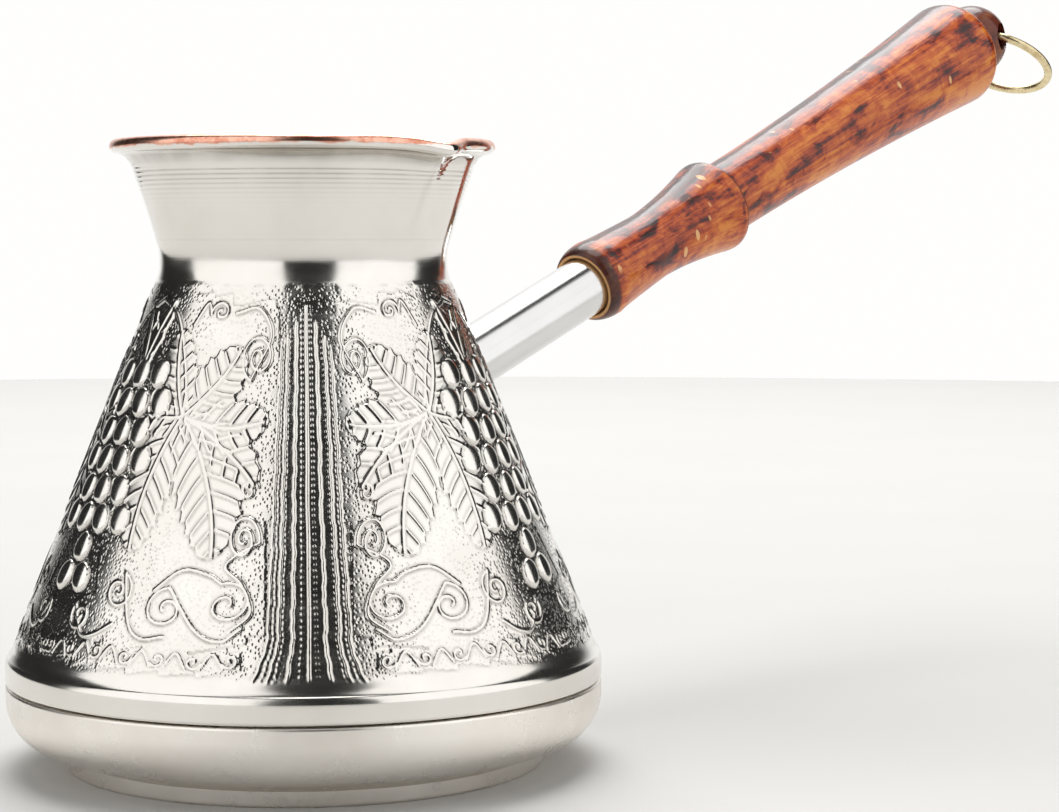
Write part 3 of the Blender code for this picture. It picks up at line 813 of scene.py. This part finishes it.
# ---------------------------------------------------------------- base pan
def base_pan(material):
    """The spun bottom: a foot, a flank that rounds up to the seam, and a flat inside."""
    rise = FLANK_TOP_Z - FOOT_HEIGHT
    reach = POT_RADIUS - FLANK_BEND_RADIUS
    corner = 0.6 * MM
    fillet = 0.35 * MM
    edge = 0.45 * MM
    top = SEAM_Z - 0.15 * MM
    outer = [(0.0, 0.0)]
    outer += [(r * MM, 0.0) for r in (12.0, 24.0, 36.0)]
    outer += arc(FOOT_RADIUS - corner, corner, corner, -90, 0, 6)
    outer += arc(FOOT_RADIUS + fillet, FOOT_HEIGHT - fillet, fillet, 180, 90, 3)
    outer += arc(FLANK_BEND_RADIUS, FLANK_TOP_Z, reach, -88, 0, 26, rise / reach)
    outer += [(POT_RADIUS, top - 0.6 * MM)]
    outer += arc(POT_RADIUS - edge, top - edge, edge, 0, 90, 4)
    inner_reach = reach - PAN_WALL
    inner = [(POT_RADIUS - PAN_WALL, top)]
    inner += arc(FLANK_BEND_RADIUS, FLANK_TOP_Z, inner_reach, 0, -90, 14, (rise - PAN_WALL) / inner_reach)
    inner += arc(FOOT_RADIUS - PAN_WALL - corner, PAN_WALL + corner, corner, 0, -90, 4)
    inner += [(r * MM, PAN_WALL) for r in (30.0, 15.0, 0.0)]
    pan = turned("satin_base_pan", outer + inner, 240, material)
    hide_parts("base_pan")
    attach(pan, "pot")


# ---------------------------------------------------------------- handle
def handle_matrix():
    """The handle's own frame: its origin on the cone wall, its Z along the handle."""
    return Matrix.Translation(HANDLE_ROOT) @ Matrix.Rotation(HANDLE_TILT, 4, "Y")


def on_handle(thing):
    """Move a piece made about its own Z onto the handle's axis, in its mesh."""
    thing.data.transform(handle_matrix())
    return thing


def ferrule_tube(material):
    """The steel tube between cone and wood, its edges broken."""
    edge = 0.25 * MM
    outer = [(TUBE_RADIUS - edge, TUBE_START), (TUBE_RADIUS, TUBE_START + edge)]
    outer += [(TUBE_RADIUS, z) for z in np.linspace(TUBE_START + 1 * MM, TUBE_END - 1 * MM, 16)]
    outer += [(TUBE_RADIUS, TUBE_END - edge), (TUBE_RADIUS - edge, TUBE_END)]
    inner = [(TUBE_BORE + edge, TUBE_END), (TUBE_BORE, TUBE_END - edge)]
    inner += [(TUBE_BORE, TUBE_START + edge), (TUBE_BORE + edge, TUBE_START)]
    tube = on_handle(turned("steel_ferrule_tube", outer + inner, 96, material))
    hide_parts("ferrule_tube")
    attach(tube, "pot")


def blend_radius(start, end, steps, bend):
    """Points between two (radius, height) ends; bend above 1 keeps the first radius longer."""
    points = []
    for share in np.linspace(0.0, 1.0, steps + 1)[1:-1]:
        radius = start[0] + (end[0] - start[0]) * share**bend
        points.append((radius, start[1] + (end[1] - start[1]) * share))
    return points


def wood_section():
    """The turned handle's closed outline: bead, throat, collar, groove, grip, ball, then the bore."""
    counterbore = TUBE_RADIUS + 0.3 * MM
    end_face = counterbore + 0.5 * MM
    end_round = BEAD_RADIUS - end_face
    end_depth = 4.8 * MM
    bead = (BEAD_RADIUS, WOOD_START + end_depth)
    throat = (THROAT_RADIUS, THROAT_AT)
    collar = (10.25 * MM, COLLAR_AT - 1.5 * MM)
    collar_edge = 0.7 * MM
    groove = [
        (8.6 * MM, COLLAR_AT + 0.05 * MM),
        (7.75 * MM, COLLAR_AT + 0.15 * MM),
        (7.7 * MM, COLLAR_AT + 0.5 * MM),
    ]
    grip_start = (7.95 * MM, COLLAR_AT + 1.6 * MM)
    grip_full = (GRIP_RADIUS, GRIP_FULL_AT)
    grip_round = GRIP_END - GRIP_FULL_AT
    ball_neck = 7.0 * MM
    outer = arc(end_face, bead[1], end_round, -90, 0, 9, end_depth / end_round)
    outer += blend_radius(bead, throat, 14, 0.7) + [throat]
    outer += blend_radius(throat, collar, 18, 1.7) + [collar]
    outer += arc(COLLAR_RADIUS - collar_edge, COLLAR_AT - collar_edge, collar_edge, 10, 85, 5)
    outer += groove
    outer += [grip_start] + blend_radius(grip_start, grip_full, 40, 1.75) + [grip_full]
    outer += arc(GRIP_RADIUS - grip_round, GRIP_FULL_AT, grip_round, 6, 86, 12)
    outer += arc(0.0, BALL_AT, BALL_RADIUS, -math.degrees(math.acos(ball_neck / BALL_RADIUS)), 90, 26)

    # Bores for the stud's end, the threaded insert and the tube
    stud_bore = 2.8 * MM
    insert_bore = 4.5 * MM
    insert_end = 70.3 * MM
    tube_bore_end = 55.7 * MM
    inner = [
        (0.0, 87.0 * MM),
        (stud_bore, 87.0 * MM),
        (stud_bore, insert_end),
        (insert_bore, insert_end),
        (insert_bore, tube_bore_end),
        (counterbore, tube_bore_end),
        (counterbore, WOOD_START + 0.4 * MM),
        (counterbore + 0.15 * MM, WOOD_START + 0.05 * MM),
    ]
    return outer + inner


def wooden_handle(material):
    """The turned wood, with the ring's hole cut across its ball and widened at both mouths."""
    handle = turned("lacquered_wood_handle", wood_section(), 112, material)
    hole_radius = 2.9 * MM
    mouth = 4.4 * MM
    section = [
        (0.0, 1.2 * BALL_RADIUS),
        (mouth + 0.8 * MM, 1.2 * BALL_RADIUS),
        (mouth, BALL_RADIUS),
        (3.55 * MM, 0.88 * BALL_RADIUS),
        (3.1 * MM, 0.78 * BALL_RADIUS),
        (hole_radius, 0.66 * BALL_RADIUS),
    ]
    section += [(r, -h) for r, h in reversed(section)]
    cutter = turned("ring_hole", section, 48, material)
    across = Matrix.Translation((0, 0, RING_HOLE_AT)) @ Matrix.Rotation(math.pi / 2, 4, "X")
    cutter.data.transform(across)
    cut = handle.modifiers.new("ring_hole", "BOOLEAN")
    cut.operation = "DIFFERENCE"
    cut.object = cutter
    graph = bpy.context.evaluated_depsgraph_get()
    mesh = bpy.data.meshes.new_from_object(handle.evaluated_get(graph))
    handle.modifiers.clear()
    handle.data = mesh
    mesh.shade_smooth()
    mesh.set_sharp_from_angle(angle=math.radians(32.0))
    bpy.data.objects.remove(cutter)
    on_handle(handle)
    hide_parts("wooden_handle")
    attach(handle, "pot")


def hanging_ring(material):
    """The wire ring, swung to where it hangs in the ball's hole, its cut hidden in the hole."""
    form = bmesh.new()
    sides = [(math.cos(a), math.sin(a)) for a in np.linspace(0.0, math.tau, 24, endpoint=False)]
    loops = []
    for angle in np.linspace(RING_CUT, math.tau - RING_CUT, 128):
        outward = Vector((0.0, math.sin(angle), -math.cos(angle)))
        middle = outward * RING_RADIUS + Vector((0.0, 0.0, RING_RADIUS - RING_SLACK))
        spots = [middle + outward * RING_WIRE * c + Vector((RING_WIRE * s, 0, 0)) for c, s in sides]
        loops.append([form.verts.new(place) for place in spots])
    for one, two in zip(loops, loops[1:]):
        for i in range(len(sides)):
            j = (i + 1) % len(sides)
            form.faces.new((one[i], one[j], two[j], two[i]))
    form.faces.new(loops[0])
    form.faces.new(loops[-1])
    bmesh.ops.recalc_face_normals(form, faces=form.faces)
    ring = finish_form("brass_hanging_ring", form, material, 50.0)
    swing = Matrix.Translation((0.0, 0.0, RING_HOLE_AT)) @ Matrix.Rotation(RING_FALL, 4, "Y")
    ring.data.transform(handle_matrix() @ swing)
    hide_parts("hanging_ring")
    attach(ring, "ring")


def dress_nodes(materials):
    """The frame's own fasteners stay, with their real materials."""
    for name, material in materials.items():
        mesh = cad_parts[name].data
        mesh.materials.clear()
        mesh.materials.append(material)


# ---------------------------------------------------------------- stage
CAMERA_AZIMUTH = math.radians(-47.0)
TOWARDS_CAMERA = Vector((math.sin(CAMERA_AZIMUTH), -math.cos(CAMERA_AZIMUTH), 0.0)).normalized()
CAMERA_RIGHT = Vector((math.cos(CAMERA_AZIMUTH), math.sin(CAMERA_AZIMUTH), 0.0))


def camera():
    """The photo's camera: at the neck's height, right of the pot's axis, looking slightly down."""
    right = 41.85 * MM
    away = 491.33 * MM
    up = 97.67 * MM
    data = bpy.data.cameras.new("camera")
    data.lens = 89.9
    data.sensor_width = 36.0
    data.clip_end = 20.0
    thing = bpy.data.objects.new("camera", data)
    bpy.context.scene.collection.objects.link(thing)
    thing.location = CAMERA_RIGHT * right + TOWARDS_CAMERA * away + Vector((0, 0, up))
    thing.rotation_euler = (math.radians(86.33), 0.0, CAMERA_AZIMUTH)
    bpy.context.scene.camera = thing


def area_light(name, shape, size, power):
    data = bpy.data.lights.new(name, "AREA")
    data.shape = shape
    data.size = size
    data.energy = power
    thing = bpy.data.objects.new(name, data)
    bpy.context.scene.collection.objects.link(thing)
    thing.visible_camera = False
    return thing


def softbox(name, turn, distance, width, height, power):
    """An upright soft light standing on the floor, turn degrees right of the camera seen from the pot."""
    light = area_light(name, "RECTANGLE", width, power)
    light.data.size_y = height
    turn = math.radians(turn)
    direction = TOWARDS_CAMERA * math.cos(turn) + CAMERA_RIGHT * math.sin(turn)
    light.location = direction * distance + Vector((0, 0, height / 2 + 0.01))
    light.rotation_euler = direction.to_track_quat("Z", "Y").to_euler()


def downlight(name, place, size, power):
    """A wide soft light above the floor, facing straight down."""
    area_light(name, "DISK", size, power).location = place


def studio_world():
    """White behind the pot, dark around the camera, so that the metal has edges to reflect."""
    world = bpy.data.worlds.new("studio")
    bpy.context.scene.world = world
    world.use_nodes = True
    n = Nodes(world.node_tree)
    background = world.node_tree.nodes["Background"]
    direction = n.add("ShaderNodeTexCoord").outputs["Generated"]

    def along(axis):
        node = n.add("ShaderNodeVectorMath", operation="DOT_PRODUCT")
        n.put(node.inputs[0], direction)
        n.put(node.inputs[1], tuple(axis))
        return node.outputs["Value"]

    turn = n.math("ABSOLUTE", n.math("ARCTAN2", along(CAMERA_RIGHT), along(TOWARDS_CAMERA)))
    back = n.range(turn, math.radians(142.0), math.radians(158.0), 0.02, 1.0)
    up = n.range(along(Vector((0, 0, 1))), 0.93, 0.99, 0.0, 0.3)
    seen = n.add("ShaderNodeLightPath").outputs["Is Camera Ray"]
    glow = n.math("MAXIMUM", n.math("MAXIMUM", back, up), seen)
    n.put(background.inputs["Color"], n.mix(glow, (0.0, 0.0, 0.0), (1.0, 0.995, 0.985)))
    n.put(background.inputs["Strength"], 1.0)


def floor():
    """A plain pale disc just under the foot."""
    form = bmesh.new()
    bmesh.ops.create_circle(form, cap_ends=True, segments=96, radius=1.35)
    material, n, shader = new_material("pale_floor")
    pale = n.mix(n.noise(n.position(), 9.0), (0.60, 0.595, 0.58), (0.63, 0.625, 0.61))
    n.put(shader.inputs["Base Color"], pale)
    shader.inputs["Roughness"].default_value = 0.8
    shader.inputs["Specular IOR Level"].default_value = 0.1
    thing = finish_form("floor", form, material)
    thing.location.z = -0.02 * MM


def stage():
    camera()
    studio_world()
    floor()
    softbox("softbox_left", -52.0, 1.1, 1.90, 2.2, 15.5)
    softbox("softbox_right", 68.5, 1.1, 1.70, 2.2, 13.8)
    downlight("overhead", Vector((0.05, 0.0, 1.9)), 1.1, 9.0)
    downlight("floor_wash", Vector((0.0, 0.0, 1.7)) - TOWARDS_CAMERA * 1.15, 1.7, 36.0)
    bpy.context.scene.view_settings.view_transform = "Standard"


# ---------------------------------------------------------------- build
tin = tinned_copper()
steel = polished_steel()
zinc = zinc_plate()
brass_metal = brass()
body_shell(tin)
base_pan(satin_tin())
ferrule_tube(steel)
wooden_handle(lacquered_wood())
hanging_ring(brass_metal)
dress_nodes({
    "handle_seat": steel,
    "inner_saddle_washer": bare_copper(),
    "handle_stud": zinc,
    "lock_nut": zinc,
    "threaded_insert": brass_metal,
})
stage()
